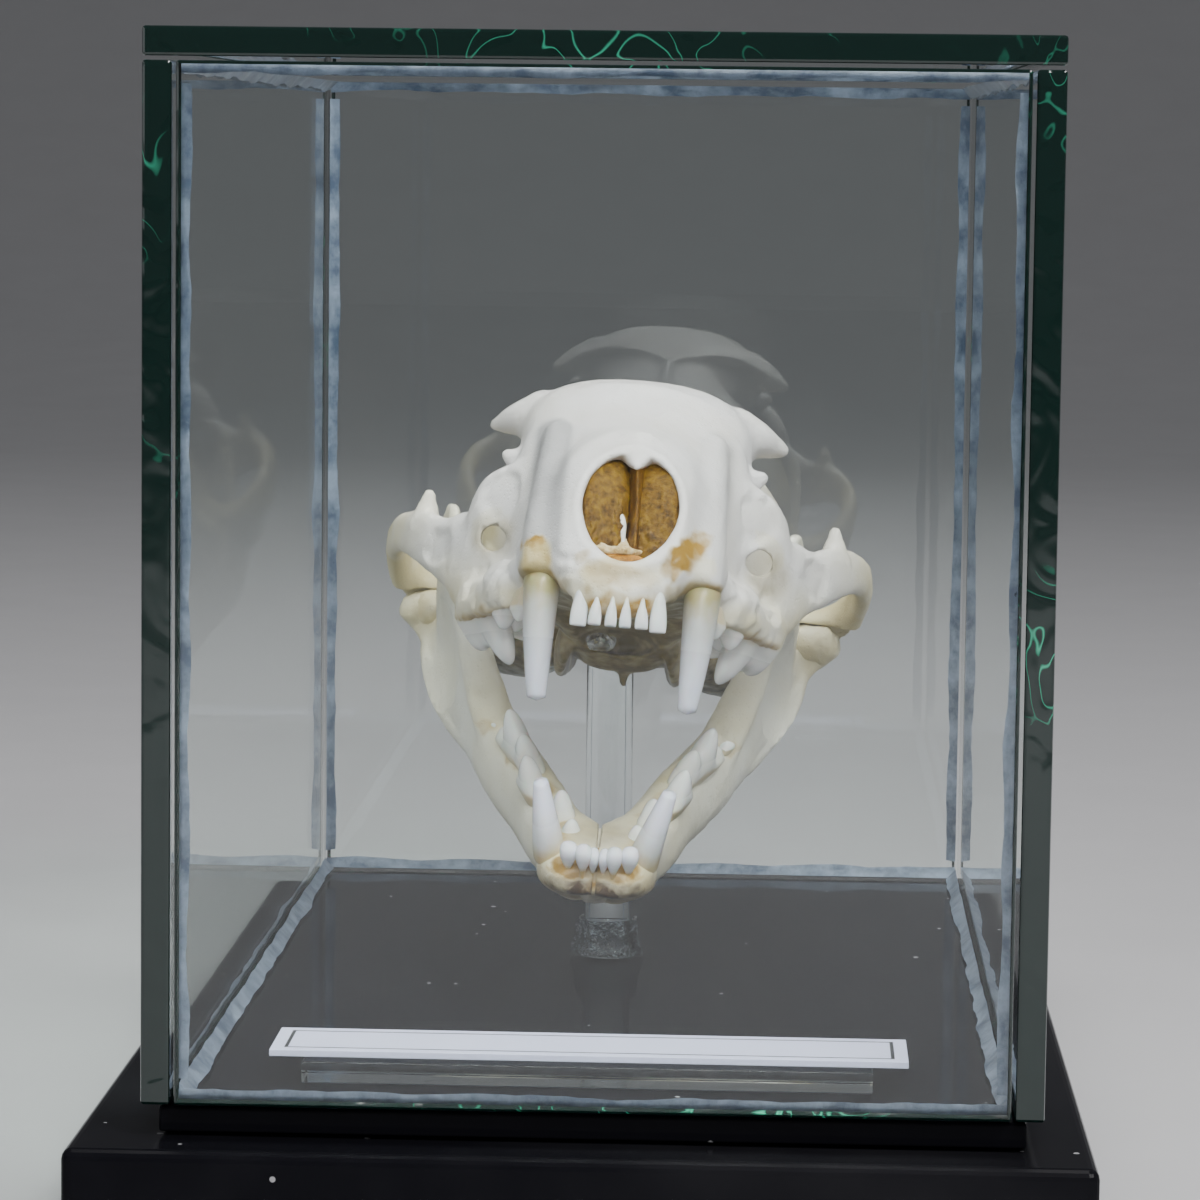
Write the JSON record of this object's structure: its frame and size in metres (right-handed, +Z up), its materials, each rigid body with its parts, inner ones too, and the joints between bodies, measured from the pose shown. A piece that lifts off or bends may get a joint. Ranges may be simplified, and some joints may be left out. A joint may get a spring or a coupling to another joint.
{
  "type": "polecat skull in a display case",
  "caption": "Life-size polecat skull with open jaws, raised on a clear rod in a small glass display case on a black base with a blank label.",
  "frame": {"origin": "middle of the footprint, on the surface that the base stands on", "axes": "+Z up, +Y from the front of the case, where the skull looks, to its back, +X to the viewer's right, which is the animal's left"},
  "size_m": [0.074, 0.12, 0.0897],
  "materials": {
    "bone": "satin",
    "clear_acrylic": "clear",
    "case_glass": "clear",
    "glue": "translucent",
    "black_gloss": "gloss",
    "label_paper": "matt"
  },
  "bodies": {
    "root": {"cranium": "bone", "jaw_left": "bone", "jaw_right": "bone", "support_rod": "clear_acrylic", "rod_foot_glue": "glue", "label": "label_paper", "label_block": "clear_acrylic", "plinth": "black_gloss", "base": "black_gloss", "glass_lid": "case_glass", "glass_front": "case_glass", "glass_back": "case_glass", "glass_side_left": "case_glass", "glass_side_right": "case_glass", "glue_front_left": "glue", "glue_front_right": "glue", "glue_back_left": "glue", "glue_back_right": "glue", "glue_floor_front": "glue", "glue_floor_back": "glue", "glue_floor_left": "glue", "glue_floor_right": "glue", "glue_lid_front": "glue", "glue_lid_back": "glue", "glue_lid_left": "glue", "glue_lid_right": "glue"}
  },
  "joints": []
}
